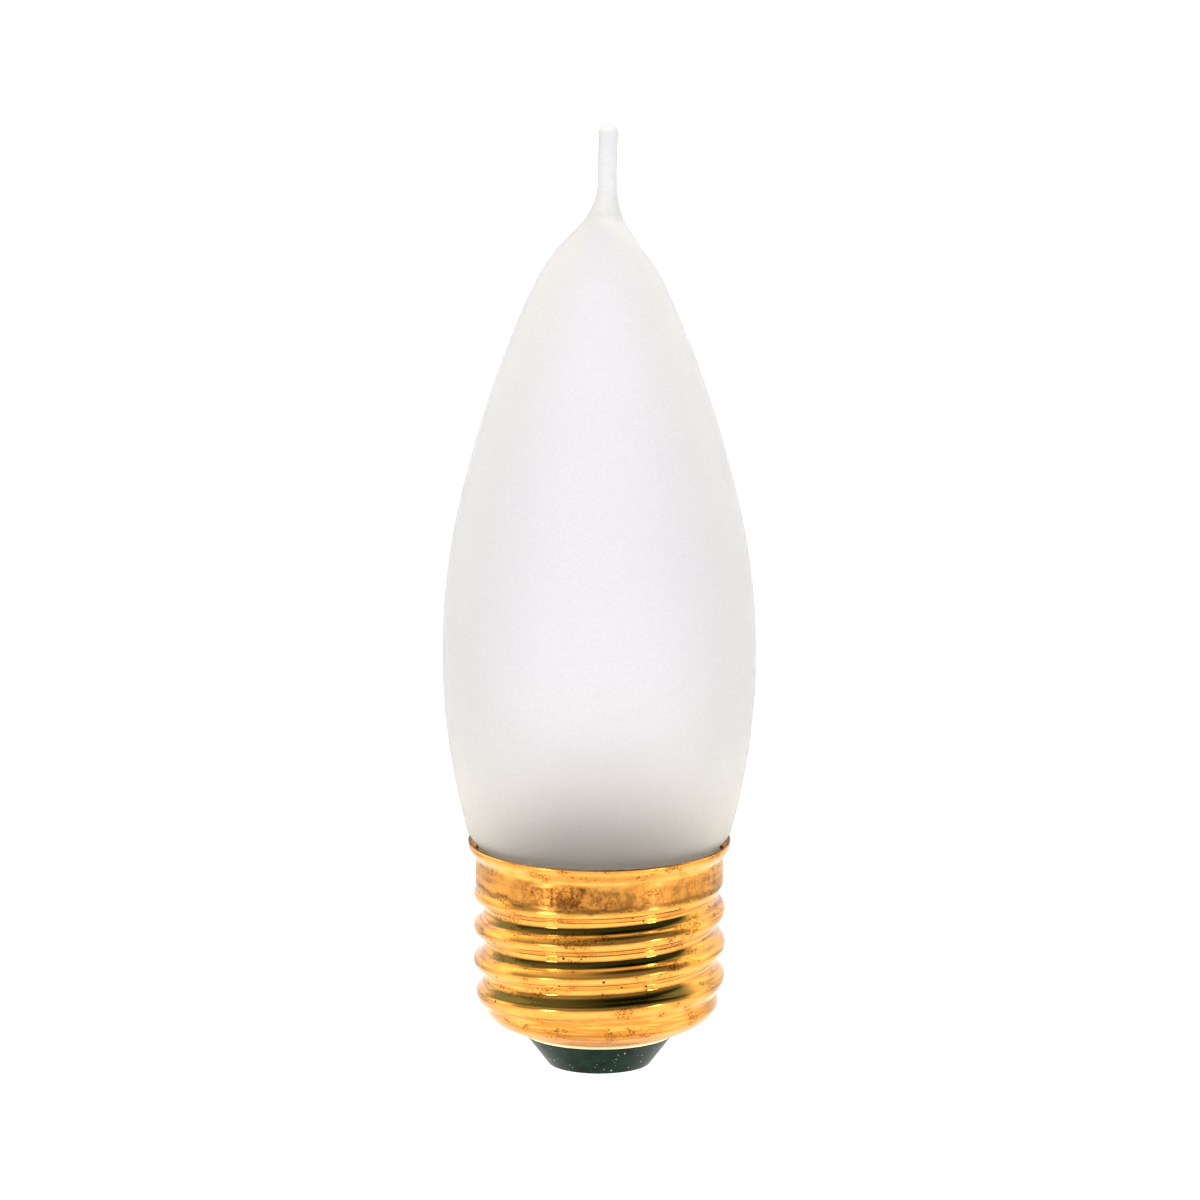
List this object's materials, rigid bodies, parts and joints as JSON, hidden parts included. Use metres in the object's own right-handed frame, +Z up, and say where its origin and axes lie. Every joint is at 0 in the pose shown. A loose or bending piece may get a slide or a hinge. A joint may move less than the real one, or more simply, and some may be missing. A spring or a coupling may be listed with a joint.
{
  "type": "candle bulb",
  "caption": "Frosted flame-shaped lamp bulb with a thin drawn tip that bends over, on a rolled brass screw base with a black glass insulator and a soldered centre contact.",
  "frame": {"origin": "lowest point of the centre contact's solder bead, on the lamp's axis", "axes": "+Z up along the lamp's axis from the centre contact to the tip, +X to the right and +Y to the back as the lamp is usually seen"},
  "size_m": [0.0328, 0.0328, 0.1013],
  "materials": {
    "frosted_glass": "satin frosted",
    "rolled_brass": "rolled and lacquered",
    "black_glass": "moulded glass",
    "contact_brass": "pressed",
    "solder": "satin solder",
    "cement": "cured basing cement",
    "lead_wire": "drawn wire",
    "weld": "solder bead"
  },
  "bodies": {
    "root": {"glass_bulb": "frosted_glass", "screw_shell": "rolled_brass", "base_insulator": "black_glass", "centre_contact": "contact_brass", "contact_solder": "solder", "basing_cement": "cement", "centre_lead_wire": "lead_wire", "side_lead_wire": "lead_wire", "side_weld": "weld"}
  },
  "joints": []
}
